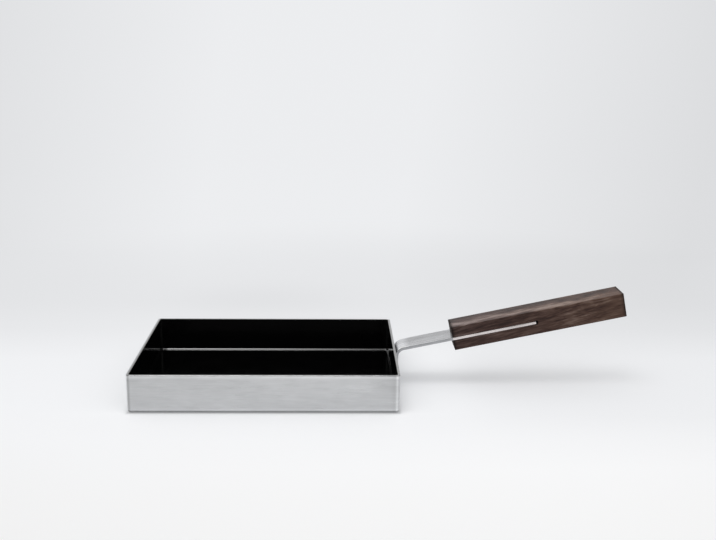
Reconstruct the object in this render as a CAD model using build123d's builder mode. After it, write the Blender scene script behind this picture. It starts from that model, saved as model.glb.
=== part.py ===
from build123d import *
import os
from math import cos, pi, radians, sin, tan

# A rectangular rolled-omelette pan: a brushed sheet tray with a glossy black lining, and a
# flat bar that is welded to one short side, bends outwards just below the rim and runs up
# into a kerf sawn in a plain wooden block.
# The origin is the middle of the flat underside. +X points to the handle, +Z up. Sizes in mm.

# Pan
pan_length = 180.0
pan_width = 130.0
pan_height = 26.3
wall_thickness = 1.4
floor_thickness = 1.4
outer_edge_radius = 2.5
rim_edge_radius = 0.3

# Lining
lining_thickness = 0.3
lining_edge_radius = 1.5

# Strap
strap_width = 20.8
strap_thickness = 2.0
strap_edge_radius = 0.25
strap_rise_degrees = 11.9
bend_inner_radius = 5.0
corner_below_rim = 0.5
strap_reach = 40.6
tab_above_base = 6.0
tab_corner_radius = 3.5
weld_spacing = 10.0
weld_mark_radius = 2.2
weld_mark_depth = 0.25
weld_height_share = 0.5

# Grip
grip_length = 123.8
grip_thickness = 17.1
grip_edge_radius = 0.6
grip_end_radius = 0.4
strap_insertion = 59.8
kerf_clearance = 0.05
relief_hole_radius = 1.7

# Grip screws
screw_behind_grip_end = 16.0
screw_before_strap_end = 13.5
screw_head_radius = 2.9
screw_head_height = 2.0
screw_head_chamfer = 0.5
screw_shank_radius = 1.5
screw_tip_length = 1.8
screw_head_depth = 3.2
wood_above_screw = 2.4
head_clearance = 0.4
shank_clearance = 0.2
pilot_clearance = 0.05
recess_length = 3.2
recess_width = 0.7
recess_depth = 1.1

# How far every cut runs past the material that it opens
overrun = 2.0

# Places that follow from the sizes
cavity_length = pan_length - 2 * wall_thickness
cavity_width = pan_width - 2 * wall_thickness
cavity_depth = pan_height - floor_thickness
cavity_edge_radius = lining_edge_radius + lining_thickness

strap_rise = radians(strap_rise_degrees)
bend_radius = bend_inner_radius + strap_thickness / 2
tab_middle_x = pan_length / 2 + strap_thickness / 2
tab_outer_x = pan_length / 2 + strap_thickness
bend_corner_z = pan_height - corner_below_rim
bend_tangent_length = bend_radius * tan((pi / 2 - strap_rise) / 2)
tab_flat_length = bend_corner_z - bend_tangent_length - tab_above_base
weld_z = tab_above_base + tab_flat_length * weld_height_share
strap_run = strap_reach + strap_insertion

# The bar lies flush with both sides of the block
grip_width = strap_width

along_grip = Vector(cos(strap_rise), 0, sin(strap_rise))
up_from_grip = Vector(-sin(strap_rise), 0, cos(strap_rise))
bend_corner = Vector(tab_middle_x, 0, bend_corner_z)
grip_start = bend_corner + along_grip * strap_reach
underside_start = grip_start - up_from_grip * (grip_thickness / 2)
screw_length = grip_thickness - screw_head_depth - wood_above_screw
screw_stations = (screw_behind_grip_end, strap_insertion - screw_before_strap_end)
screw_places = [(station, 0) for station in screw_stations]

# Planes of the strap and the grip, all of them tilted by the rise
strap_plane = Plane(origin=grip_start, x_dir=along_grip, z_dir=up_from_grip)
grip_end_plane = Plane(origin=grip_start, x_dir=(0, 1, 0), z_dir=along_grip)
grip_side_plane = Plane(origin=grip_start, x_dir=along_grip, z_dir=(0, -1, 0))
underside_plane = Plane(origin=underside_start, x_dir=along_grip, z_dir=-up_from_grip)

os.makedirs("parts", exist_ok=True)

# Pan body: a tray with every corner rounded, open at the top, its rim just eased
with BuildPart() as pan_body:
    with BuildSketch() as footprint:
        Rectangle(pan_length, pan_width)
    extrude(amount=pan_height)
    fillet(pan_body.edges().sort_by(Axis.Z)[:-4], radius=outer_edge_radius)
    with BuildSketch(Plane.XY.offset(floor_thickness)) as cavity:
        Rectangle(cavity_length, cavity_width)
    extrude(amount=cavity_depth, mode=Mode.SUBTRACT)
    fillet(pan_body.edges(Select.LAST).sort_by(Axis.Z)[:-4], radius=cavity_edge_radius)
    rim_face = pan_body.faces().sort_by(Axis.Z)[-1]
    fillet(rim_face.outer_wire().edges(), radius=rim_edge_radius)

# Non-stick lining: a thin skin over the whole inside, up to the rim
with BuildPart() as nonstick_lining:
    with BuildSketch(Plane.XY.offset(floor_thickness)) as lining_footprint:
        Rectangle(cavity_length, cavity_width)
    extrude(amount=cavity_depth)
    fillet(nonstick_lining.edges().sort_by(Axis.Z)[:-4], radius=cavity_edge_radius)
    lining_mouth = nonstick_lining.faces().sort_by(Axis.Z)[-1]
    offset(amount=-lining_thickness, openings=lining_mouth)

# Handle strap: one flat bar, its tab against the wall, bent once, its tang drilled for the screws
with BuildPart() as handle_strap:
    with BuildSketch(Plane.XZ) as strap_side:
        with BuildLine() as strap_middle:
            strap_end = bend_corner + along_grip * strap_run
            FilletPolyline(
                (tab_middle_x, tab_above_base),
                (tab_middle_x, bend_corner_z),
                (strap_end.X, strap_end.Z),
                radius=bend_radius,
            )
        trace(line_width=strap_thickness)
    extrude(amount=strap_width / 2, both=True)
    tab_corners = handle_strap.edges().filter_by(Axis.X).sort_by(Axis.Z)[:2]
    fillet(tab_corners, radius=tab_corner_radius)
    strap_sides = handle_strap.faces().filter_by(Axis.Y)
    fillet(strap_sides.edges(), radius=strap_edge_radius)
    with BuildSketch(strap_plane) as screw_clearances:
        with Locations(*screw_places):
            Circle(screw_shank_radius + shank_clearance)
    extrude(amount=strap_thickness, both=True, mode=Mode.SUBTRACT)
    weld_plane = Plane(origin=(tab_outer_x, 0, weld_z), x_dir=(0, 1, 0), z_dir=(1, 0, 0))
    with BuildSketch(weld_plane) as weld_marks:
        with GridLocations(weld_spacing, 0, 2, 1):
            Circle(weld_mark_radius)
    extrude(amount=-weld_mark_depth, mode=Mode.SUBTRACT)

# Wood grip: a square-edged block with a kerf for the strap and two counterbored screw holes below
with BuildPart() as wood_grip:
    with BuildSketch(grip_end_plane) as grip_section:
        RectangleRounded(grip_width, grip_thickness, grip_edge_radius)
    extrude(amount=grip_length)
    grip_ends = wood_grip.faces().filter_by(Axis(grip_start, along_grip))
    fillet(grip_ends.edges(), radius=grip_end_radius)
    with BuildSketch(grip_side_plane) as kerf:
        with Locations(((strap_insertion - overrun) / 2, 0)):
            Rectangle(strap_insertion + overrun, strap_thickness + 2 * kerf_clearance)
        with Locations((strap_insertion, 0)):
            Circle(relief_hole_radius)
    extrude(amount=grip_width / 2 + overrun, both=True, mode=Mode.SUBTRACT)
    with Locations(underside_plane):
        with Locations(*screw_places):
            CounterBoreHole(
                radius=screw_shank_radius + shank_clearance,
                counter_bore_radius=screw_head_radius + head_clearance,
                counter_bore_depth=screw_head_depth,
                depth=grip_thickness / 2,
            )
            Hole(
                radius=screw_shank_radius + pilot_clearance,
                depth=screw_head_depth + screw_length + pilot_clearance,
            )

# Grip screws: two alike, through the lower lip and the tang into the upper half of the block
with BuildPart() as grip_screws:
    for station in screw_stations:
        seat = underside_start + along_grip * station + up_from_grip * screw_head_depth
        with BuildSketch(Plane(origin=seat, x_dir=along_grip, z_dir=(0, -1, 0))) as half_screw:
            with BuildLine():
                Polyline(
                    (0, -screw_head_height),
                    (screw_head_radius - screw_head_chamfer, -screw_head_height),
                    (screw_head_radius, screw_head_chamfer - screw_head_height),
                    (screw_head_radius, 0),
                    (screw_shank_radius, 0),
                    (screw_shank_radius, screw_length - screw_tip_length),
                    (0, screw_length),
                    close=True,
                )
            make_face()
        revolve(axis=Axis(seat, up_from_grip))
        head_face_centre = seat - up_from_grip * screw_head_height
        head_plane = Plane(origin=head_face_centre, x_dir=along_grip, z_dir=-up_from_grip)
        with BuildSketch(head_plane) as cross_recess:
            Rectangle(recess_length, recess_width)
            Rectangle(recess_width, recess_length)
        extrude(amount=-recess_depth, mode=Mode.SUBTRACT)

pan_body.part.label = "pan_body"
nonstick_lining.part.label = "nonstick_lining"
handle_strap.part.label = "handle_strap"
wood_grip.part.label = "wood_grip"
grip_screws.part.label = "grip_screws"

export_step(pan_body.part, "parts/pan_body.step")
export_step(nonstick_lining.part, "parts/nonstick_lining.step")
export_step(handle_strap.part, "parts/handle_strap.step")
export_step(wood_grip.part, "parts/wood_grip.step")
export_step(grip_screws.part, "parts/grip_screws.step")
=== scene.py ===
from math import asin, cos, pi, radians, sin, tan

import bmesh
import bpy
from mathutils import Euler, Matrix, Vector


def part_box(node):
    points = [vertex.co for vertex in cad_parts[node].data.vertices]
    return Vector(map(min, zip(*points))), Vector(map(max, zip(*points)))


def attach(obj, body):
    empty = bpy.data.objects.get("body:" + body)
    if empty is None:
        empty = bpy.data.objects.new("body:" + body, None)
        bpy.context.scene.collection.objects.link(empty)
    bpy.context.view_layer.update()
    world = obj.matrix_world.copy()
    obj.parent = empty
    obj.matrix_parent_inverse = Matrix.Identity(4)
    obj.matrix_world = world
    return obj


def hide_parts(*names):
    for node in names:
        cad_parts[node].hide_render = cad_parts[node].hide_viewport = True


# A rectangular rolled-omelette pan: a brushed tray with a glossy black lining, and a bent bar
# that runs into a kerf in a dark wooden block. Metres, in the frame of the CAD model.
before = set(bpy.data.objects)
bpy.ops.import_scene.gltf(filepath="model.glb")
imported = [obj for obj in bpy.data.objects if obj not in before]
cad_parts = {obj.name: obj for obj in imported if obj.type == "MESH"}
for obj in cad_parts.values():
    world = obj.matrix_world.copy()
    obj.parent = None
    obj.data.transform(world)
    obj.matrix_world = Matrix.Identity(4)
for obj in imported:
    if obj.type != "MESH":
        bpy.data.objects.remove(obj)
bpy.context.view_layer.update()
scene = bpy.context.scene
mm = 0.001

# Camera, fitted to the photograph's lines
camera_place = (44.6 * mm, -681.4 * mm, 250.5 * mm)
camera_pitch_down = radians(13.90)
camera_yaw_right = radians(1.545)
camera_roll = radians(0.62)
camera_lens = 50
camera_sensor_width = 36

# Pan and lining
tray_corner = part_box("pan_body")[1]
wall_thickness = 1.4 * mm
floor_thickness = 1.4 * mm
outer_edge_radius = 2.5 * mm
rim_edge_radius = 0.3 * mm
lining_thickness = 0.3 * mm
lining_edge_radius = 1.5 * mm
lining_lip_radius = 0.1 * mm

# Strap
strap_width = 20.8 * mm
strap_thickness = 2.0 * mm
strap_edge_radius = 0.25 * mm
strap_rise = radians(11.9)
bend_inner_radius = 5.0 * mm
corner_below_rim = 0.5 * mm
strap_reach = 40.6 * mm
tab_above_base = 6.0 * mm
tab_corner_radius = 3.5 * mm
weld_spacing = 10.0 * mm
weld_mark_radius = 2.2 * mm
weld_mark_depth = 0.25 * mm
weld_height_share = 0.5

# Grip
grip_length = 123.8 * mm
grip_thickness = 17.1 * mm
grip_edge_radius = 0.6 * mm
grip_end_radius = 0.4 * mm
strap_insertion = 59.8 * mm
kerf_clearance = 0.05 * mm
kerf_edge_width = 0.12 * mm
relief_hole_radius = 1.7 * mm

# Grip screws
screw_behind_grip_end = 16.0 * mm
screw_before_strap_end = 13.5 * mm
screw_head_radius = 2.9 * mm
screw_head_height = 2.0 * mm
screw_head_rounding = 0.8 * mm
screw_shank_radius = 1.5 * mm
screw_tip_length = 1.8 * mm
screw_head_depth = 3.2 * mm
wood_above_screw = 2.4 * mm
head_clearance = 0.4 * mm
shank_clearance = 0.2 * mm
pilot_clearance = 0.05 * mm
recess_length = 3.2 * mm
recess_width = 0.7 * mm
recess_depth = 1.1 * mm

# How far every cutter runs past the material that it opens
overrun = 2.0 * mm

# Steps in each quarter of a round edge, in the bend, round a screw and over an eased edge
fillet_steps = 8
rim_steps = 4
block_edge_steps = 5
bend_steps = 16
turned_steps = 48
eased_steps = 2

# How often the faces of a cutting ball are divided
ball_divisions = 6

# Points that are nearer than this become one
merge_distance = 0.001 * mm

# Edges sharper than these are eased, or stay sharp in the shading
eased_edges = radians(60)
sharp_edges = radians(40)
sharp_screw_edges = radians(30)

# A face whose normal has this much of an axis faces along it
facing_share = 0.7

# Places that follow from the sizes
grip_width = strap_width
bend_radius = bend_inner_radius + strap_thickness / 2
bend_angle = pi / 2 - strap_rise
tab_middle_x = tray_corner.x + strap_thickness / 2
bend_corner = Vector((tab_middle_x, 0, tray_corner.z - corner_below_rim))
bend_tangent_length = bend_radius * tan(bend_angle / 2)
bend_start = bend_corner.z - bend_tangent_length - tab_above_base
bend_end = bend_start + bend_radius * bend_angle
strap_length = bend_end + strap_reach + strap_insertion - bend_tangent_length
along_grip = Vector((cos(strap_rise), 0, sin(strap_rise)))
across_grip = Vector((0, 1, 0))
up_from_grip = Vector((-sin(strap_rise), 0, cos(strap_rise)))
grip_start = bend_corner + along_grip * strap_reach
screw_length = grip_thickness - screw_head_depth - wood_above_screw
screw_stations = (screw_behind_grip_end, strap_insertion - screw_before_strap_end)
screw_seat = screw_head_depth - grip_thickness / 2


# Mesh tools

def axes_matrix(x_axis, y_axis, z_axis, origin):
    """The matrix that carries a point from a frame with these axes and origin to the world."""
    turn = Matrix((x_axis, y_axis, z_axis)).transposed().to_4x4()
    return Matrix.Translation(origin) @ turn


block_to_world = axes_matrix(along_grip, across_grip, up_from_grip, grip_start)


def arc_angles(start, end, steps):
    """Angles from start to end, both of them included."""
    return [start + (end - start) * step / steps for step in range(steps + 1)]


def rounded_outline(half_length, half_width, radius, steps):
    """Points round a rectangle with rounded corners, from the middle of its right side."""
    points = []
    corner_sides = ((1, 1), (-1, 1), (-1, -1), (1, -1))
    for quarter, (side_x, side_y) in enumerate(corner_sides):
        for angle in arc_angles(quarter * pi / 2, (quarter + 1) * pi / 2, steps):
            x = side_x * (half_length - radius) + radius * cos(angle)
            y = side_y * (half_width - radius) + radius * sin(angle)
            points.append((x, y))
    return points


def new_object(name, mesh_tool):
    """A new object in the scene with the mesh that the tool holds."""
    mesh = bpy.data.meshes.new(name)
    mesh_tool.to_mesh(mesh)
    mesh_tool.free()
    made = bpy.data.objects.new(name, mesh)
    scene.collection.objects.link(made)
    return made


def loft(name, rings):
    """A closed solid through rings of points, with a flat cap on the first and the last."""
    mesh_tool = bmesh.new()
    loops = [[mesh_tool.verts.new(point) for point in ring] for ring in rings]
    for lower, upper in zip(loops, loops[1:]):
        for index in range(len(lower)):
            after = (index + 1) % len(lower)
            mesh_tool.faces.new((lower[index], lower[after], upper[after], upper[index]))
    mesh_tool.faces.new(reversed(loops[0]))
    mesh_tool.faces.new(loops[-1])
    bmesh.ops.remove_doubles(mesh_tool, verts=mesh_tool.verts, dist=merge_distance)
    bmesh.ops.dissolve_degenerate(mesh_tool, edges=mesh_tool.edges, dist=merge_distance)
    bmesh.ops.recalc_face_normals(mesh_tool, faces=mesh_tool.faces)
    return new_object(name, mesh_tool)


def prism(name, outline, low, high):
    """A solid whose outline, of (x, y) points, runs from z = low to z = high."""
    return loft(name, [[(x, y, z) for x, y in outline] for z in (low, high)])


def lathe(name, profile):
    """A solid of revolution round z, from (radius, z) points that start and end on the axis."""
    angles = arc_angles(0, 2 * pi, turned_steps)[:-1]
    rings = []
    for radius, z in profile:
        rings.append([(radius * cos(angle), radius * sin(angle), z) for angle in angles])
    return loft(name, rings)


def ball(name, centre, radius):
    """A finely divided ball, only to cut with."""
    mesh_tool = bmesh.new()
    bmesh.ops.create_icosphere(mesh_tool, subdivisions=ball_divisions, radius=radius)
    bmesh.ops.translate(mesh_tool, vec=centre, verts=mesh_tool.verts)
    return new_object(name, mesh_tool)


def settle_modifiers(piece):
    """Turns what the modifiers make into the piece's own mesh."""
    graph = bpy.context.evaluated_depsgraph_get()
    settled = bpy.data.meshes.new_from_object(piece.evaluated_get(graph))
    piece.modifiers.clear()
    piece.data = settled


def cut(piece, cutter):
    """Takes the cutter's solid out of the piece, and the cutter out of the scene."""
    step = piece.modifiers.new("cut", "BOOLEAN")
    step.operation = "DIFFERENCE"
    step.solver = "EXACT"
    step.object = cutter
    settle_modifiers(piece)
    bpy.data.objects.remove(cutter)


def ease_edges(piece, width):
    """Breaks every sharp edge."""
    step = piece.modifiers.new("ease", "BEVEL")
    step.width = width
    step.segments = eased_steps
    step.limit_method = "ANGLE"
    step.angle_limit = eased_edges
    step.use_clamp_overlap = True
    settle_modifiers(piece)


def shade(piece, sharper_than=sharp_edges):
    """Smooth shading that keeps flat faces flat and leaves sharp edges sharp."""
    piece.data.shade_smooth()
    piece.data.set_sharp_from_angle(angle=sharper_than)
    step = piece.modifiers.new("normals", "WEIGHTED_NORMAL")
    step.keep_sharp = True


def brush_map(piece, place):
    """A UV map whose first direction runs along the brushing, in metres."""
    layer = piece.data.uv_layers.new(name="Brush")
    for face in piece.data.polygons:
        for loop in face.loop_indices:
            corner = piece.data.vertices[piece.data.loops[loop].vertex_index].co
            layer.data[loop].uv = place(corner, face.normal)


def remember_places(piece, name):
    """Keeps each vertex's present place as an attribute that a material can read."""
    layer = piece.data.attributes.new(name, "FLOAT_VECTOR", "POINT")
    for vertex in piece.data.vertices:
        layer.data[vertex.index].vector = vertex.co


def finish_piece(piece, node, material):
    """Gives the piece its material, hangs it on the root body and hides the CAD part it replaces.
    """
    piece.data.materials.clear()
    piece.data.materials.append(material)
    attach(piece, "root")
    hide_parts(node)


# Pieces

def tray_ring(inset, radius, height):
    """One ring of the tray or its lining, at a distance inside the tray's outer walls."""
    half_length = tray_corner.x - inset
    half_width = tray_corner.y - inset
    outline = rounded_outline(half_length, half_width, radius, fillet_steps)
    return [(x, y, height) for x, y in outline]


def outer_shell(inset, bottom, radius):
    """Rings up the outside of a tray, from its flat bottom to the top of its base edge."""
    rings = []
    for angle in arc_angles(0, pi / 2, fillet_steps):
        height = bottom + radius * (1 - cos(angle))
        rings.append(tray_ring(inset + radius * (1 - sin(angle)), radius * sin(angle), height))
    return rings


def lip(inset, corner_radius, edge_radius):
    """Rings round an eased outer rim edge, ending on the flat top."""
    rings = []
    for angle in arc_angles(0, pi / 2, rim_steps):
        step_in = edge_radius * (1 - cos(angle))
        height = tray_corner.z - edge_radius * (1 - sin(angle))
        rings.append(tray_ring(inset + step_in, corner_radius - step_in, height))
    return rings


def inner_lip(inset, corner_radius, edge_radius):
    """Rings round an eased inner rim edge, starting on the flat top."""
    rings = []
    for angle in arc_angles(0, pi / 2, rim_steps):
        step_out = edge_radius * (1 - sin(angle))
        height = tray_corner.z - edge_radius * (1 - cos(angle))
        rings.append(tray_ring(inset - step_out, corner_radius + step_out, height))
    return rings


def tray_brushing(place, normal):
    """Brushing along the long way on the base, and level on the walls."""
    if abs(normal.z) > max(abs(normal.x), abs(normal.y)):
        return (place.x, place.y)
    if abs(normal.y) > abs(normal.x):
        return (place.x, place.z)
    return (place.y, place.z)


def build_tray(material):
    """The sheet tray: base, walls, eased rim, and the inside that carries the lining."""
    inside_radius = lining_edge_radius + lining_thickness
    rings = outer_shell(0, 0, outer_edge_radius)
    rings += lip(0, outer_edge_radius, rim_edge_radius)
    rings.append(tray_ring(wall_thickness, inside_radius, tray_corner.z))
    rings += reversed(outer_shell(wall_thickness, floor_thickness, inside_radius))
    tray = loft("tray", rings)
    brush_map(tray, tray_brushing)
    shade(tray)
    finish_piece(tray, "pan_body", material)


def build_lining(material):
    """The black skin over the whole inside, up to the rim."""
    outside_inset = wall_thickness
    inside_inset = wall_thickness + lining_thickness
    outside_radius = lining_edge_radius + lining_thickness
    rings = outer_shell(outside_inset, floor_thickness, outside_radius)
    rings.append(tray_ring(outside_inset, outside_radius, tray_corner.z))
    rings += inner_lip(inside_inset, lining_edge_radius, lining_lip_radius)
    inside_floor = floor_thickness + lining_thickness
    rings += reversed(outer_shell(inside_inset, inside_floor, lining_edge_radius))
    lining = loft("lining", rings)
    shade(lining)
    finish_piece(lining, "nonstick_lining", material)


def bent(flat):
    """Where a point of the flat bar lies once the bar is bent."""
    turn = min(max((flat.x - bend_start) / bend_radius, 0), bend_angle)
    centre = Vector((tab_middle_x + bend_radius, 0, tab_above_base + bend_start))
    outward = Vector((-cos(turn), 0, sin(turn)))
    onward = Vector((sin(turn), 0, cos(turn)))
    straight = min(flat.x - bend_start, 0) + max(flat.x - bend_end, 0)
    middle = centre + outward * bend_radius + onward * straight
    return middle + outward * flat.z + Vector((0, flat.y, 0))


def strap_outline():
    """The flat bar's outline: rounded corners at the tab, square ones at the tang's end."""
    half_width = strap_width / 2
    corner_y = half_width - tab_corner_radius
    points = [(strap_length, -half_width), (strap_length, half_width)]
    for side, start, end in ((1, pi / 2, pi), (-1, pi, 3 * pi / 2)):
        for angle in arc_angles(start, end, fillet_steps):
            x = tab_corner_radius * (1 + cos(angle))
            y = side * corner_y + tab_corner_radius * sin(angle)
            points.append((x, y))
    return points


def strap_brushing(place, normal):
    """Brushing along the bar on its faces and its edges, and across it at its ends."""
    if abs(normal.z) > facing_share:
        return (place.x, place.y)
    if abs(normal.y) > facing_share:
        return (place.x, place.z + strap_width)
    return (place.y, place.z)


def slice_bend(strap):
    """Cuts the flat bar's faces across where it will bend."""
    mesh_tool = bmesh.new()
    mesh_tool.from_mesh(strap.data)
    for station in arc_angles(bend_start, bend_end, bend_steps):
        everything = list(mesh_tool.verts) + list(mesh_tool.edges) + list(mesh_tool.faces)
        bmesh.ops.bisect_plane(
            mesh_tool, geom=everything, plane_co=(station, 0, 0), plane_no=(1, 0, 0)
        )
    mesh_tool.to_mesh(strap.data)
    mesh_tool.free()


def build_strap(material):
    """The bar, cut and marked while it is flat, then bent."""
    half_thickness = strap_thickness / 2
    strap = prism("strap", strap_outline(), -half_thickness, half_thickness)
    ease_edges(strap, strap_edge_radius)
    dimple_radius = (weld_mark_radius ** 2 + weld_mark_depth ** 2) / (2 * weld_mark_depth)
    dimple_depth = half_thickness - weld_mark_depth + dimple_radius
    for side in (-1, 1):
        across = side * weld_spacing / 2
        centre = Vector((bend_start * weld_height_share, across, -dimple_depth))
        cut(strap, ball("dimple", centre, dimple_radius))
    hole_radius = screw_shank_radius + shank_clearance
    hole_profile = [
        (0, -strap_thickness),
        (hole_radius, -strap_thickness),
        (hole_radius, strap_thickness),
        (0, strap_thickness),
    ]
    for station in screw_stations:
        hole = lathe("hole", hole_profile)
        along = strap_length - strap_insertion + station
        hole.data.transform(Matrix.Translation((along, 0, 0)))
        cut(strap, hole)
    slice_bend(strap)
    brush_map(strap, strap_brushing)
    remember_places(strap, "blank")
    for vertex in strap.data.vertices:
        vertex.co = bent(vertex.co)
    strap.data.update()
    shade(strap)
    finish_piece(strap, "handle_strap", material)


def block_ring(station, inset):
    """One ring of the grip, across its length."""
    half_width = grip_width / 2 - inset
    half_height = grip_thickness / 2 - inset
    corner_radius = grip_edge_radius - inset
    outline = rounded_outline(half_width, half_height, corner_radius, block_edge_steps)
    return [(station, y, z) for y, z in outline]


def kerf_outline():
    """The keyhole that the saw and the drill leave, in the block's side view."""
    half_kerf = strap_thickness / 2 + kerf_clearance
    shoulder = pi - asin(half_kerf / relief_hole_radius)
    points = [(-overrun, half_kerf), (-overrun, -half_kerf)]
    for angle in arc_angles(-shoulder, shoulder, turned_steps // 2):
        x = strap_insertion + relief_hole_radius * cos(angle)
        z = relief_hole_radius * sin(angle)
        points.append((x, z))
    return points


def build_grip(material):
    """The wooden block with its kerf, relief hole and counterbored screw holes."""
    rings = []
    for angle in arc_angles(0, pi / 2, block_edge_steps):
        station = grip_end_radius * (1 - cos(angle))
        rings.append(block_ring(station, grip_end_radius * (1 - sin(angle))))
    for angle in arc_angles(pi / 2, 0, block_edge_steps):
        station = grip_length - grip_end_radius * (1 - cos(angle))
        rings.append(block_ring(station, grip_end_radius * (1 - sin(angle))))
    grip = loft("grip", rings)

    half_cut = grip_width / 2 + overrun
    kerf = prism("kerf", kerf_outline(), -half_cut, half_cut)
    kerf.data.transform(Matrix.Rotation(pi / 2, 4, "X"))
    cut(grip, kerf)

    hole_bottom = -grip_thickness / 2 - overrun
    pilot_top = screw_seat + screw_length + pilot_clearance
    counterbore = screw_head_radius + head_clearance
    clearance = screw_shank_radius + shank_clearance
    pilot = screw_shank_radius + pilot_clearance
    drill_profile = [
        (0, hole_bottom),
        (counterbore, hole_bottom),
        (counterbore, screw_seat),
        (clearance, screw_seat),
        (clearance, 0),
        (pilot, 0),
        (pilot, pilot_top),
        (0, pilot_top),
    ]
    for station in screw_stations:
        drill = lathe("drill", drill_profile)
        drill.data.transform(Matrix.Translation((station, 0, 0)))
        cut(grip, drill)
    ease_edges(grip, kerf_edge_width)
    remember_places(grip, "block")
    grip.data.transform(block_to_world)
    shade(grip)
    finish_piece(grip, "wood_grip", material)


def screw_profile():
    """The lathe profile of a pan-head screw, from its head to its tip."""
    head_bottom = screw_seat - screw_head_height
    profile = [(0, head_bottom)]
    for angle in arc_angles(0, pi / 2, fillet_steps):
        radius = screw_head_radius - screw_head_rounding * (1 - sin(angle))
        profile.append((radius, head_bottom + screw_head_rounding * (1 - cos(angle))))
    profile += [
        (screw_head_radius, screw_seat),
        (screw_shank_radius, screw_seat),
        (screw_shank_radius, screw_seat + screw_length - screw_tip_length),
        (0, screw_seat + screw_length),
    ]
    return profile


def build_screws(material):
    """Two pan-head screws with a cross recess, in one piece as in the CAD model."""
    head_bottom = screw_seat - screw_head_height
    recess_floor = head_bottom + recess_depth
    both = bmesh.new()
    for station in screw_stations:
        screw = lathe("screw", screw_profile())
        for length, width in ((recess_length, recess_width), (recess_width, recess_length)):
            slot_outline = [
                (-length / 2, -width / 2),
                (length / 2, -width / 2),
                (length / 2, width / 2),
                (-length / 2, width / 2),
            ]
            cut(screw, prism("recess", slot_outline, head_bottom - overrun, recess_floor))
        screw.data.transform(Matrix.Translation((station, 0, 0)))
        both.from_mesh(screw.data)
        bpy.data.objects.remove(screw)
    screws = new_object("screws", both)
    remember_places(screws, "block")
    screws.data.transform(block_to_world)
    shade(screws, sharp_screw_edges)
    finish_piece(screws, "grip_screws", material)


# Values of the materials

# Where most values of a noise lie, for even marks and for stronger ones
noise_range = (0.3, 0.7)
strong_range = (0.32, 0.68)

# How rough the detail of a noise is, and how much of it a fine noise has
noise_roughness = 0.5
fine_detail = 3

# Brushed metal: sizes of the spots along and across the brushing, with the third one unused
hairline_size = (26 * mm, 0.22 * mm, 1)
streak_size = (38 * mm, 2.2 * mm, 1)
patch_size = (12 * mm, 3.2 * mm, 1)
patch_distortion = 0.5
cloud_size = (60 * mm, 24 * mm, 1)

# The sums of two and of four noises that the metal's shade and shine change over
marks_range = (0.0, 2.0)
lines_range = (0.7, 1.3)
pattern_range = (1.65, 2.35)
shine_change = 0.12
hairline_strength = 0.35
hairline_depth = 0.01 * mm
brushed_anisotropy = 0.6
brushed_rotation = 0.25
tray_finish = {
    "tone": (0.60, 0.605, 0.612), "contrast": 0.12, "marks_share": 0.55, "roughness": 0.30
}
strap_finish = {
    "tone": (0.618, 0.625, 0.645), "contrast": 0.20, "marks_share": 1.0, "roughness": 0.28
}

# Painted light and shade on the tray by height and along its length, as (place, share of its
# tone): painted shade on the rounded base edge with a painted highlight just above it, a painted
# highlight band below the rim with painted shade on the rim top, a painted dark line at the
# upright edges away from the handle, painted shade and a painted highlight at the handle's end,
# and a slow change in tone between them
wall_shades = (
    (0.0, 0.58),
    (0.9 * mm, 0.62),
    (1.7 * mm, 0.90),
    (2.6 * mm, 1.14),
    (3.7 * mm, 1.0),
    (tray_corner.z - 3.2 * mm, 1.0),
    (tray_corner.z - 2.0 * mm, 1.10),
    (tray_corner.z - 1.0 * mm, 1.24),
    (tray_corner.z - 0.5 * mm, 1.10),
    (tray_corner.z - rim_edge_radius, 0.82),
    (tray_corner.z, 0.84),
)
length_shades = (
    (-tray_corner.x, 1.0),
    (-tray_corner.x + 1.0 * mm, 0.94),
    (-tray_corner.x + 1.4 * mm, 0.62),
    (-tray_corner.x + 1.9 * mm, 0.62),
    (-tray_corner.x + 2.3 * mm, 0.95),
    (-45 * mm, 0.955),
    (-15 * mm, 1.02),
    (60 * mm, 1.04),
    (tray_corner.x - 7 * mm, 0.955),
    (tray_corner.x - 4.5 * mm, 0.90),
    (tray_corner.x - 3.0 * mm, 0.88),
    (tray_corner.x - 2.6 * mm, 1.10),
    (tray_corner.x - 2.3 * mm, 1.28),
    (tray_corner.x - 1.6 * mm, 1.28),
    (tray_corner.x - 1.2 * mm, 0.94),
    (tray_corner.x - 0.7 * mm, 0.88),
    (tray_corner.x, 1.0),
)

# On the strap's brush map its faces lie below this and its edges above it
edges_from = strap_width * 0.75

# The strap's darker edges, a painted highlight with a warm painted reflection of the wood on its
# edges in the kerf, painted highlights along the borders of its faces, its faces darker towards
# the back, a painted highlight on its bend and a painted shadow in the crevice between it and the
# wall, as shares of its tone
outer_edge_shade = 0.66
kerf_edge_highlight = (1.20, 1.10, 1.05)
border_width = 2.4 * mm
border_highlight = 1.30
back_shade = 0.92
bend_highlight_length = 5.0 * mm
bend_highlight = 1.50
crevice_shadow_start = 1.2 * mm
crevice_shadow_length = 4.0 * mm
crevice_shadow = 0.16

# Lining: its orange peel, and its tone and roughness over a slow haze
peel_size = (2.2 * mm,) * 3
peel_strength = 0.12
peel_depth = 0.02 * mm
haze_size = (18 * mm,) * 3
lining_tones = ((0.3, (0.0004, 0.0004, 0.0005)), (0.7, (0.0009, 0.0009, 0.0010)))
lining_roughness = (0.07, 0.10)
lining_ior = 1.8

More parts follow.
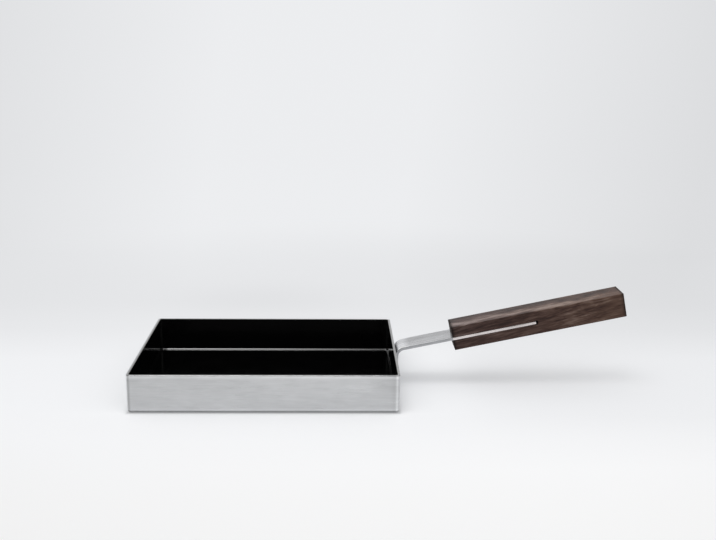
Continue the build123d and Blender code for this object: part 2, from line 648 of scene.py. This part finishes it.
# Wood: each noise's size along, across and up the grain, its detail and its distortion
wood_noises = {
    "figure": ((28 * mm, 7 * mm, 7 * mm), 3, 0.7),
    "bands": ((26 * mm, 3.6 * mm, 1.8 * mm), 3, 0.7),
    "streaks": ((9 * mm, 1.8 * mm, 0.8 * mm), 2, 0.4),
    "fibres": ((13 * mm, 0.5 * mm, 0.5 * mm), 3, 0.0),
    "pores": ((5.5 * mm, 0.35 * mm, 0.35 * mm), 1, 0.0),
}
wood_shares = {"bands": 0.42, "streaks": 0.30, "fibres": 0.12}
grain_slope = 0.07

# The curl lies along the block, not along the grain, and is stronger towards the far end
curl_size = (9 * mm, 4.0 * mm, 2.6 * mm)
curl_detail = 2
curl_distortion = 0.8
curl_reach = (0.3 * grip_length, 0.7 * grip_length)
curl_shares = (0.24, 0.36)

# Growth rings: how they lie, their shade as (depth, shade), and its limit along the block
ring_tilt = radians(30)
ring_wander = 3.2 * mm
ring_drift = 2.0 * mm
ring_drift_reach = (0.55 * grip_length, 0.85 * grip_length)
ring_tones = (
    (-14 * mm, 0.50),
    (-10 * mm, 0.58),
    (-6 * mm, 0.44),
    (-4.5 * mm, 0.40),
    (-2 * mm, 0.80),
    (0.6 * mm, 1.32),
    (3.0 * mm, 0.90),
    (6 * mm, 0.52),
    (9 * mm, 0.30),
    (14 * mm, 0.42),
)
ring_limits = (1.32, 0.90)
ring_limit_reach = (0.5 * grip_length, 0.8 * grip_length)

# The front side is paler from near the kerf's end on, and the far end is calmer
pale_lift = 0.13
pale_start = (0.48 * grip_length, 0.62 * grip_length)
pale_depth = (-8 * mm, -3 * mm)
calm_length = 22 * mm
calm_share = 0.65
calm_level = 1.13

# Wood colours, from the darkest shade to the palest, and their tint towards each end
wood_range = (0.55, 1.85)
wood_colours = (
    (0.0, (0.020, 0.0100, 0.0085)),
    (0.22, (0.045, 0.0240, 0.0195)),
    (0.40, (0.078, 0.0450, 0.0370)),
    (0.62, (0.130, 0.0850, 0.0710)),
    (0.82, (0.205, 0.1520, 0.1330)),
    (1.0, (0.300, 0.2350, 0.2100)),
)
near_tint = (0.96, 0.95, 1.0)
far_tint = (1.16, 1.06, 0.92)

# Dark pores, and darker ends: the end grain's own darkness with painted shade on the end faces
pore_range = (0.60, 0.70)
pore_share = 0.5
pore_colour = (0.014, 0.007, 0.006)
dark_end_length = 2.6 * mm
dark_end_shade = 0.20
sawn_roughness = 0.95

# The wood's gloss, relief and sheen
wood_roughness = (0.36, 0.50)
fibre_strength = 0.5
fibre_depth = 0.05 * mm
wood_specular = 0.20
wood_sheen = 0.08
wood_sheen_roughness = 0.35
wood_sheen_tint = (1.0, 0.86, 0.82, 1.0)

# Screw steel: its tone and roughness over the turning marks
turning_size = (0.5 * mm,) * 3
screw_tones = ((0.3, (0.50, 0.50, 0.51)), (0.7, (0.64, 0.64, 0.64)))
screw_roughness = (0.28, 0.40)


# Material tools

def new_material(name):
    """A node material, its tree and its shader."""
    material = bpy.data.materials.new(name)
    material.use_nodes = True
    tree = material.node_tree
    return material, tree, tree.nodes["Principled BSDF"]


def add_node(tree, kind, values=None, **settings):
    """A node with its settings, whose inputs take values or other nodes' outputs."""
    made = tree.nodes.new(kind)
    for key, value in settings.items():
        setattr(made, key, value)
    for key, value in (values or {}).items():
        if isinstance(value, bpy.types.NodeSocket):
            tree.links.new(value, made.inputs[key])
        else:
            made.inputs[key].default_value = value
    return made


def split(tree, vector):
    """The three parts of a vector."""
    parts = add_node(tree, "ShaderNodeSeparateXYZ", {"Vector": vector})
    return tuple(parts.outputs[axis] for axis in "XYZ")


def remembered(tree, name):
    """The places that a mesh keeps under this name."""
    return add_node(tree, "ShaderNodeAttribute", attribute_name=name).outputs["Vector"]


def brushed_places(tree):
    """The places on the map that runs along the brushing."""
    return add_node(tree, "ShaderNodeUVMap", uv_map="Brush").outputs["UV"]


def stretched_noise(tree, places, size, detail=2.0, distortion=0.0):
    """Noise whose spots have the given sizes along each direction of the places, in metres."""
    scale = tuple(1 / length for length in size)
    spots = add_node(tree, "ShaderNodeMapping", {"Vector": places, "Scale": scale})
    noise = add_node(
        tree,
        "ShaderNodeTexNoise",
        {
            "Vector": spots.outputs["Vector"],
            "Scale": 1.0,
            "Detail": detail,
            "Roughness": noise_roughness,
            "Distortion": distortion,
        },
    )
    return noise.outputs["Fac"]


def spread(tree, value, from_low, from_high, to_low, to_high):
    """The value carried from one range to another."""
    ranged = add_node(
        tree,
        "ShaderNodeMapRange",
        {
            "Value": value,
            "From Min": from_low,
            "From Max": from_high,
            "To Min": to_low,
            "To Max": to_high,
        },
    )
    return ranged.outputs["Result"]


def calculate(tree, operation, first, second=0.0):
    """One step of arithmetic."""
    step = add_node(tree, "ShaderNodeMath", {0: first, 1: second}, operation=operation)
    return step.outputs["Value"]


def choose(tree, factor, first, second):
    """The first value where the factor is 0, the second where it is 1."""
    mix = add_node(tree, "ShaderNodeMix", {"Factor": factor, "A": first, "B": second})
    return mix.outputs["Result"]


def choose_colour(tree, factor, first, second):
    """The first colour where the factor is 0, the second where it is 1."""
    values = {"Factor": factor, "A": first, "B": second}
    return add_node(tree, "ShaderNodeMix", values, data_type="VECTOR").outputs["Result"]


def choose_shader(tree, factor, first, second):
    """The first shader where the factor is 0, the second where it is 1."""
    values = {0: factor, 1: first.outputs[0], 2: second.outputs[0]}
    return add_node(tree, "ShaderNodeMixShader", values)


def multiply_colours(tree, first, second):
    """The product of two colours."""
    step = add_node(tree, "ShaderNodeVectorMath", {0: first, 1: second}, operation="MULTIPLY")
    return step.outputs["Vector"]


def scale_colour(tree, colour, factor):
    """The colour times a number."""
    step = add_node(tree, "ShaderNodeVectorMath", {0: colour, "Scale": factor}, operation="SCALE")
    return step.outputs["Vector"]


def colour_ramp(tree, value, stops):
    """A colour ramp with (position, colour) stops."""
    ramp = add_node(tree, "ShaderNodeValToRGB", {"Fac": value})
    elements = ramp.color_ramp.elements
    for element, (position, colour) in zip(elements, (stops[0], stops[-1])):
        element.position = position
        element.color = (*colour, 1)
    for position, colour in stops[1:-1]:
        elements.new(position).color = (*colour, 1)
    return ramp.outputs["Color"]


def ramp_along(tree, value, stops):
    """A colour ramp whose stops are given at the value's own places."""
    first, last = stops[0][0], stops[-1][0]
    shares = [((place - first) / (last - first), colour) for place, colour in stops]
    return colour_ramp(tree, spread(tree, value, first, last, 0.0, 1.0), shares)


def grey_stops(tones):
    """The (place, tone) stops with each tone as a colour."""
    return [(place, (tone,) * 3) for place, tone in tones]


def set_relief(tree, shader, height, strength, depth):
    """Gives the shader a bump of this height."""
    values = {"Strength": strength, "Distance": depth, "Height": height}
    bump = add_node(tree, "ShaderNodeBump", values)
    tree.links.new(bump.outputs["Normal"], shader.inputs["Normal"])


# Materials

def brushed_metal(name, painted_shading, tone, contrast, marks_share, roughness):
    """Satin metal with hairlines, clouds, streaks and patches, and painted light and shade over
    them.
    """
    material, tree, shader = new_material(name)
    places = brushed_places(tree)
    hairlines = stretched_noise(tree, places, hairline_size, fine_detail)
    streaks = stretched_noise(tree, places, streak_size, fine_detail)
    patches = stretched_noise(tree, places, patch_size, distortion=patch_distortion)
    clouds = stretched_noise(tree, places, cloud_size)
    marks = calculate(tree, "ADD", streaks, patches)
    marks = spread(tree, marks, *marks_range, 1.0 - marks_share, 1.0 + marks_share)
    pattern = calculate(tree, "ADD", calculate(tree, "ADD", hairlines, clouds), marks)
    dark = tuple(channel * (1 - contrast) for channel in tone)
    light = tuple(channel * (1 + contrast) for channel in tone)
    base = ramp_along(tree, pattern, [(pattern_range[0], dark), (pattern_range[1], light)])
    tree.links.new(multiply_colours(tree, base, painted_shading(tree)), shader.inputs["Base Color"])
    lines = calculate(tree, "ADD", hairlines, streaks)
    smooth, rough = roughness * (1 - shine_change), roughness * (1 + shine_change)
    tree.links.new(spread(tree, lines, *lines_range, smooth, rough), shader.inputs["Roughness"])
    set_relief(tree, shader, hairlines, hairline_strength, hairline_depth)
    tangent = add_node(tree, "ShaderNodeTangent", direction_type="UV_MAP", uv_map="Brush")
    tree.links.new(tangent.outputs["Tangent"], shader.inputs["Tangent"])
    shader.inputs["Metallic"].default_value = 1.0
    shader.inputs["Anisotropic"].default_value = brushed_anisotropy
    shader.inputs["Anisotropic Rotation"].default_value = brushed_rotation
    return material


def tray_painted_light(tree):
    """Painted light and shade on the tray at the rim, the base edge and the upright edges."""
    x, _, z = split(tree, add_node(tree, "ShaderNodeNewGeometry").outputs["Position"])
    # Painted shade on the base edge and rim top, painted highlights above the base edge and below
    # the rim
    by_height = ramp_along(tree, z, grey_stops(wall_shades))
    # Painted dark line and painted highlight at the upright edges, and a slow change in tone along
    # them
    by_length = ramp_along(tree, x, grey_stops(length_shades))
    return multiply_colours(tree, by_height, by_length)


def strap_painted_light(tree):
    """Painted light and shade on the bar: darker edges, a bright bend, borders and kerf edges, a
    dark crevice.
    """
    along, across, _ = split(tree, brushed_places(tree))
    on_edge = calculate(tree, "GREATER_THAN", across, edges_from)
    in_grip = calculate(tree, "GREATER_THAN", along, strap_length - strap_insertion)
    # The edges: darker outside the grip, a painted highlight with a warm painted reflection in the
    # kerf
    edge_shade = choose_colour(tree, in_grip, (outer_edge_shade,) * 3, kerf_edge_highlight)

    half_width = strap_width / 2
    from_bend = calculate(tree, "ABSOLUTE", calculate(tree, "SUBTRACT", along, bend_end))
    from_middle = calculate(tree, "ABSOLUTE", across)
    dark_until = bend_start + crevice_shadow_start
    # Painted shadow in the crevice between the bar and the wall
    crevice = spread(tree, along, dark_until, dark_until + crevice_shadow_length, crevice_shadow, 1.0)
    _, _, through = split(tree, remembered(tree, "blank"))
    on_wall_side = calculate(tree, "GREATER_THAN", through, 0.0)
    # Painted highlights on the bend and along the borders, and the faces darker towards the back
    face_shade = spread(tree, from_bend, 0.0, bend_highlight_length, bend_highlight, 1.0)
    for factor in (
        spread(tree, from_middle, half_width - border_width, half_width, 1.0, border_highlight),
        spread(tree, across, -half_width / 2, half_width / 2, 1.0, back_shade),
        choose(tree, on_wall_side, 1.0, crevice),
    ):
        face_shade = calculate(tree, "MULTIPLY", face_shade, factor)
    return choose_colour(tree, on_edge, face_shade, edge_shade)


def black_lining(name):
    """Glossy black coating with a faint orange peel."""
    material, tree, shader = new_material(name)
    places = add_node(tree, "ShaderNodeTexCoord").outputs["Object"]
    haze = stretched_noise(tree, places, haze_size, fine_detail)
    shine = spread(tree, haze, *noise_range, *lining_roughness)
    tree.links.new(colour_ramp(tree, haze, lining_tones), shader.inputs["Base Color"])
    tree.links.new(shine, shader.inputs["Roughness"])
    peel = stretched_noise(tree, places, peel_size)
    set_relief(tree, shader, peel, peel_strength, peel_depth)
    shader.inputs["IOR"].default_value = lining_ior
    return material


def wood_shade(tree, places, noises):
    """How pale the wood is: its growth rings, then bands, streaks, fibres and curl over them."""
    along, across, up = split(tree, places)
    level = calculate(
        tree,
        "ADD",
        calculate(tree, "MULTIPLY", across, cos(ring_tilt)),
        calculate(tree, "MULTIPLY", up, sin(ring_tilt)),
    )
    wander = spread(tree, noises["figure"], *noise_range, -ring_wander, ring_wander)
    drift = spread(tree, along, *ring_drift_reach, 0.0, ring_drift)
    ring = calculate(tree, "ADD", calculate(tree, "ADD", level, wander), drift)
    shade_here = ramp_along(tree, ring, grey_stops(ring_tones))
    most = spread(tree, along, *ring_limit_reach, *ring_limits)
    shade_here = calculate(tree, "MINIMUM", shade_here, most)

    curl = stretched_noise(tree, places, curl_size, curl_detail, curl_distortion)
    added = [(noises[key], share) for key, share in wood_shares.items()]
    added.append((curl, spread(tree, along, *curl_reach, *curl_shares)))
    for noise, share in added:
        strong = spread(tree, noise, *strong_range, 0.0, 1.0)
        shade_here = calculate(tree, "ADD", shade_here, calculate(tree, "MULTIPLY", strong, share))

    past_kerf = spread(tree, along, *pale_start, 0.0, pale_lift)
    on_front = spread(tree, level, *pale_depth, 1.0, 0.0)
    paler = calculate(tree, "MULTIPLY", past_kerf, on_front)
    shade_here = calculate(tree, "ADD", shade_here, paler)
    calm = spread(tree, along, grip_length - calm_length, grip_length, 0.0, calm_share)
    return choose(tree, calm, shade_here, calm_level)


def dark_wood(name):
    """Oiled dark wood: slanting growth rings, figure, fibres and short pores along the block."""
    material, tree, shader = new_material(name)
    places = remembered(tree, "block")
    along, across, up = split(tree, places)
    slanted_up = calculate(tree, "SUBTRACT", up, calculate(tree, "MULTIPLY", along, grain_slope))
    grain = add_node(tree, "ShaderNodeCombineXYZ", {"X": along, "Y": across, "Z": slanted_up})
    noises = {}
    for key, (size, detail, distortion) in wood_noises.items():
        noises[key] = stretched_noise(tree, grain.outputs["Vector"], size, detail, distortion)

    pale = spread(tree, wood_shade(tree, places, noises), *wood_range, 0.0, 1.0)
    along_share = spread(tree, along, 0.0, grip_length, 0.0, 1.0)
    tint = choose_colour(tree, along_share, near_tint, far_tint)
    warmed = multiply_colours(tree, colour_ramp(tree, pale, wood_colours), tint)
    pore_depth = spread(tree, noises["pores"], *pore_range, 0.0, 1.0)
    in_pore = calculate(tree, "MULTIPLY", pore_depth, pore_share)
    pored = choose_colour(tree, in_pore, warmed, pore_colour)
    # Painted shade on the end faces, over the end grain's own darkness
    half_length = grip_length / 2
    from_middle = calculate(tree, "ABSOLUTE", calculate(tree, "SUBTRACT", along, half_length))
    end_darkening = spread(tree, from_middle, half_length - dark_end_length, half_length, 1.0, dark_end_shade)
    tree.links.new(scale_colour(tree, pored, end_darkening), shader.inputs["Base Color"])

    shine = spread(tree, noises["fibres"], *noise_range, *wood_roughness)
    sawn = spread(tree, end_darkening, dark_end_shade, 1.0, sawn_roughness, 0.0)
    tree.links.new(calculate(tree, "MAXIMUM", shine, sawn), shader.inputs["Roughness"])
    height = calculate(tree, "SUBTRACT", noises["fibres"], pore_depth)
    set_relief(tree, shader, height, fibre_strength, fibre_depth)
    shader.inputs["Specular IOR Level"].default_value = wood_specular
    shader.inputs["Sheen Weight"].default_value = wood_sheen
    shader.inputs["Sheen Roughness"].default_value = wood_sheen_roughness
    shader.inputs["Sheen Tint"].default_value = wood_sheen_tint
    return material


def turned_steel(name):
    """Plain screw steel with faint turning marks."""
    material, tree, shader = new_material(name)
    marks = stretched_noise(tree, remembered(tree, "block"), turning_size, fine_detail)
    shine = spread(tree, marks, *noise_range, *screw_roughness)
    tree.links.new(colour_ramp(tree, marks, screw_tones), shader.inputs["Base Color"])
    tree.links.new(shine, shader.inputs["Roughness"])
    shader.inputs["Metallic"].default_value = 1.0
    return material


# Values of the stage and the light

# Floor and backdrop: their tone far away, the floor's tone for light that bounces off it, and
# its tone where it is seen as (y, tone), which holds painted light: palest in front of the pan
# and darker behind it
backdrop_tone = 0.85
bounce_tone = 0.30
floor_tones = (
    (-0.60, 0.85),
    (-0.25, 0.90),
    (-0.19, 0.905),
    (-0.11, 0.92),
    (-0.05, 0.915),
    (0.043, 0.905),
    (0.12, 0.855),
    (0.20, 0.84),
    (0.35, 0.85),
    (0.50, 0.85),
    (0.78, 0.855),
)
floor_half_size = 60.0
floor_gap = 0.1 * mm

# The photograph's faint blue, as changes of red, green and blue, with less of it in front
cool_shift = (-0.010, 0, 0.020)
cool_from = -0.22
cool_full = -0.06
cool_least = 0.15

# Distances from the stage's middle over which the floor stops taking light, and gets plain
stage_middle = (0.08, 0, 0)
lit_reach = (0.25, 0.60)
far_reach = (0.60, 1.20)

# The light's loss to both sides of a strip that widens away from y = 0, and where it shows
pool_first_width = 0.204
pool_widening = 0.2985
pool_least_width = 0.001
pool_reach = (0.35, 1.35)
pool_loss = 0.146
behind_reach = (0.05, 0.40)
before_reach = (-0.25, -0.60)

# Painted light on the floor in front of the pan, its shadow's lift, and painted spots of light
# and shadow on it as (middle x, size x, middle y, size y, amount)
front_lift = 0.065
front_lift_across = (-0.15, 0.20)
front_lift_along = (-0.07, -0.15)
shadow_lift = 0.30
painted_floor_spots = (
    (0.125, 0.026, 0.020, 0.075, 0.10),
    (-0.02, 0.090, 0.210, 0.060, -0.075),
)

# Painted light that the front wall throws on the floor, and a painted shadow line at the pan's
# foot
wall_glow = 0.17
wall_glow_reach = 14 * mm
contact_shade = 0.50
contact_reach = 1.2 * mm

# The sky: its light by height and towards the front, and its tones in a mirror
zenith_light = 1.10
horizon_light = 0.50
zenith_power = 2.0
front_share = 0.2
room_tone = 0.01
room_reach = (-0.35, 0.15)
ceiling_tone = 0.2
ceiling_reach = (0.40, 0.60)

# Lamps: name, place, size, power, and whether it lights as well as shines
softboxes = (
    ("softbox", (-0.12, -0.17, 1.0), (0.48, 0.46), 0.46, True),
    ("softbox_glow", (-0.124, -0.175, 1.03), (0.49, 0.41), 0.50, False),
    ("softbox_core", (-0.23, -0.19, 1.0), (0.30, 0.36), 0.16, False),
)
softbox_spread = radians(80)


# Stage, light and camera

def grey(tone):
    """A grey with its alpha."""
    return (tone, tone, tone, 1)


def cooled(tone, share):
    """A grey with a share of the photograph's faint blue."""
    return tuple(tone * (1 + share * shift) for shift in cool_shift)


def seen_directly(tree):
    """1 for a ray from the camera, a mirror or glass, and 0 for a ray that only lights."""
    path = add_node(tree, "ShaderNodeLightPath").outputs
    glossy = calculate(tree, "MAXIMUM", path["Is Camera Ray"], path["Is Glossy Ray"])
    return calculate(tree, "MAXIMUM", glossy, path["Is Transmission Ray"])


def side_loss(tree, x, y, first_width):
    """The light that a place loses by lying beside the strip that widens away from y = 0."""
    widening = calculate(tree, "MULTIPLY", calculate(tree, "ABSOLUTE", y), pool_widening)
    half_width = calculate(tree, "ADD", widening, first_width)
    half_width = calculate(tree, "MAXIMUM", half_width, pool_least_width)
    share = calculate(tree, "DIVIDE", calculate(tree, "ABSOLUTE", x), half_width)
    return spread(tree, share, *pool_reach, 0.0, pool_loss)


def light_pool(tree, x, y, far_away):
    """The light on the floor: less to both sides, but not beside the pan, and more in front."""
    behind = spread(tree, y, *behind_reach, 0.0, 1.0)
    before = spread(tree, y, *before_reach, 0.0, 1.0)
    beyond = calculate(tree, "MAXIMUM", before, far_away)
    outside = calculate(tree, "MAXIMUM", behind, beyond)
    loss = side_loss(tree, x, y, pool_first_width)
    loss = calculate(tree, "MULTIPLY", loss, outside)
    # Painted light in front of the pan
    lift = spread(tree, x, *front_lift_across, 0.0, front_lift)
    lift = calculate(tree, "MULTIPLY", lift, spread(tree, y, *front_lift_along, 0.0, 1.0))
    lift = calculate(tree, "MULTIPLY", lift, calculate(tree, "SUBTRACT", 1.0, beyond))
    return calculate(tree, "SUBTRACT", calculate(tree, "ADD", lift, 1.0), loss)


def beside(tree, value, half_size):
    """How far outside the tray a place lies along one axis."""
    outside = calculate(tree, "SUBTRACT", calculate(tree, "ABSOLUTE", value), half_size)
    return calculate(tree, "MAXIMUM", outside, 0.0)


def fading(tree, distance, reach):
    """1 at no distance, and about a third of it one reach farther on."""
    return calculate(tree, "EXPONENT", calculate(tree, "DIVIDE", distance, -reach))


def painted_spot(tree, x, y, middle_x, size_x, middle_y, size_y, amount):
    """The amount at the spot's middle, fading to nothing round it."""
    squares = []
    for value, middle, size in ((x, middle_x, size_x), (y, middle_y, size_y)):
        offset = calculate(tree, "DIVIDE", calculate(tree, "SUBTRACT", value, middle), size)
        squares.append(calculate(tree, "MULTIPLY", offset, offset))
    away = calculate(tree, "MULTIPLY", calculate(tree, "ADD", *squares), -1.0)
    return calculate(tree, "MULTIPLY", calculate(tree, "EXPONENT", away), amount)


def foot_glow(tree, x, y):
    """Painted on the floor near the pan: a shadow line at its foot, light in front, and soft
    spots.
    """
    beside_x = beside(tree, x, tray_corner.x)
    away = calculate(tree, "ADD", beside_x, beside(tree, y, tray_corner.y))
    from_front = calculate(tree, "ABSOLUTE", calculate(tree, "ADD", y, tray_corner.y))
    from_front = calculate(tree, "ADD", beside_x, from_front)
    # Painted light from the front wall, less a painted shadow line at the pan's foot
    glow = calculate(tree, "MULTIPLY", fading(tree, from_front, wall_glow_reach), wall_glow)
    foot = calculate(tree, "MULTIPLY", fading(tree, away, contact_reach), contact_shade)
    glow = calculate(tree, "SUBTRACT", glow, foot)
    # Painted spots of light and shadow on the floor
    for spot in painted_floor_spots:
        glow = calculate(tree, "ADD", glow, painted_spot(tree, x, y, *spot))
    return calculate(tree, "ADD", glow, 1.0)


def floor_stops():
    """The floor's tones by depth, with less of the faint blue in front."""
    stops = []
    for y, tone in floor_tones:
        share = min(max((y - cool_from) / (cool_full - cool_from), cool_least), 1)
        stops.append((y, cooled(tone, share)))
    return stops


def floor_material():
    """Takes light and shadow near the pan, and shows its own tone far away."""
    material = bpy.data.materials.new("floor")
    material.use_nodes = True
    tree = material.node_tree
    tree.nodes.clear()
    places = add_node(tree, "ShaderNodeNewGeometry").outputs["Position"]
    x, y, _ = split(tree, places)
    measure = add_node(
        tree, "ShaderNodeVectorMath", {0: places, 1: stage_middle}, operation="DISTANCE"
    )
    distance = measure.outputs["Value"]
    far_away = spread(tree, distance, *far_reach, 0.0, 1.0)
    # The floor's tone by depth, with painted light in front of the pan
    by_depth = ramp_along(tree, y, floor_stops())
    tone = choose_colour(tree, far_away, by_depth, cooled(backdrop_tone, 1))
    lit_tone = scale_colour(tree, tone, light_pool(tree, x, y, far_away))
    near_tone = scale_colour(tree, lit_tone, foot_glow(tree, x, y))
    near = add_node(tree, "ShaderNodeBsdfDiffuse", {"Color": near_tone})
    far = add_node(tree, "ShaderNodeEmission", {"Color": lit_tone, "Strength": 1.0})
    fade = add_node(
        tree,
        "ShaderNodeMapRange",
        {
            "Value": distance,
            "From Min": lit_reach[0],
            "From Max": lit_reach[1],
            "To Min": shadow_lift,
        },
        interpolation_type="SMOOTHSTEP",
    )
    shown = choose_shader(tree, fade.outputs["Result"], near, far)
    bounce = add_node(tree, "ShaderNodeBsdfDiffuse", {"Color": grey(bounce_tone)})
    both = choose_shader(tree, seen_directly(tree), bounce, shown)
    add_node(tree, "ShaderNodeOutputMaterial", {"Surface": both.outputs[0]})
    return material


def build_floor():
    """A pale floor that keeps the shadow near the pan and stays pale far away."""
    mesh_tool = bmesh.new()
    corners = []
    for x, y in ((-1, -1), (1, -1), (1, 1), (-1, 1)):
        corner = (x * floor_half_size, y * floor_half_size, -floor_gap)
        corners.append(mesh_tool.verts.new(corner))
    mesh_tool.faces.new(corners)
    floor = new_object("floor", mesh_tool)
    floor.data.materials.append(floor_material())


def build_world():
    """The sky: pale where it is seen, brightest overhead as light, and a dim room in a mirror."""
    world = bpy.data.worlds.new("studio")
    world.use_nodes = True
    tree = world.node_tree
    tree.nodes.clear()
    x, y, z = split(tree, add_node(tree, "ShaderNodeTexCoord").outputs["Generated"])
    overhead = calculate(tree, "POWER", calculate(tree, "MAXIMUM", z, 0.0), zenith_power)
    by_height = spread(tree, overhead, 0.0, 1.0, horizon_light, zenith_light)
    by_side = spread(tree, y, -1, 1, 1 + front_share, 1 - front_share)
    light = calculate(tree, "MULTIPLY", by_height, by_side)
    behind = spread(tree, y, *room_reach, room_tone, backdrop_tone)
    above = spread(tree, z, *ceiling_reach, 0.0, 1.0)
    mirrored = choose(tree, above, behind, ceiling_tone)
    path = add_node(tree, "ShaderNodeLightPath").outputs
    lit_or_mirrored = choose(tree, path["Is Glossy Ray"], light, mirrored)
    direct = calculate(tree, "MAXIMUM", path["Is Camera Ray"], path["Is Transmission Ray"])
    kept = calculate(tree, "SUBTRACT", 1.0, side_loss(tree, x, y, 0.0))
    seen = calculate(tree, "MULTIPLY", kept, backdrop_tone)
    strength = choose(tree, direct, lit_or_mirrored, seen)
    colour = choose_colour(tree, direct, (1.0,) * 3, cooled(1.0, 1))
    sky = add_node(tree, "ShaderNodeBackground", {"Color": colour, "Strength": strength})
    add_node(tree, "ShaderNodeOutputWorld", {"Surface": sky.outputs[0]})
    scene.world = world


def build_softboxes():
    """A softbox overhead, a little to the left and the front, and two lamps that only shine."""
    for name, place, size, power, lights_too in softboxes:
        lamp = bpy.data.lights.new(name, "AREA")
        lamp.shape = "RECTANGLE"
        lamp.size, lamp.size_y = size
        lamp.energy = power
        lamp.spread = softbox_spread
        softbox = bpy.data.objects.new(name, lamp)
        softbox.location = place
        softbox.rotation_euler = Vector(place).to_track_quat("Z", "Y").to_euler()
        softbox.visible_camera = False
        softbox.visible_diffuse = lights_too
        scene.collection.objects.link(softbox)


def build_camera():
    """The photograph's viewpoint."""
    data = bpy.data.cameras.new("camera")
    data.lens = camera_lens
    data.sensor_width = camera_sensor_width
    camera = bpy.data.objects.new("camera", data)
    aim = Euler((pi / 2 - camera_pitch_down, 0, -camera_yaw_right)).to_matrix().to_4x4()
    roll = Matrix.Rotation(camera_roll, 4, "Z")
    camera.matrix_world = Matrix.Translation(camera_place) @ aim @ roll
    scene.collection.objects.link(camera)
    scene.camera = camera


build_camera()
build_tray(brushed_metal("tray_metal", tray_painted_light, **tray_finish))
build_lining(black_lining("lining_black"))
build_strap(brushed_metal("strap_metal", strap_painted_light, **strap_finish))
build_grip(dark_wood("walnut"))
build_screws(turned_steel("screw_metal"))
build_floor()
build_world()
build_softboxes()
scene.view_settings.view_transform = "Standard"
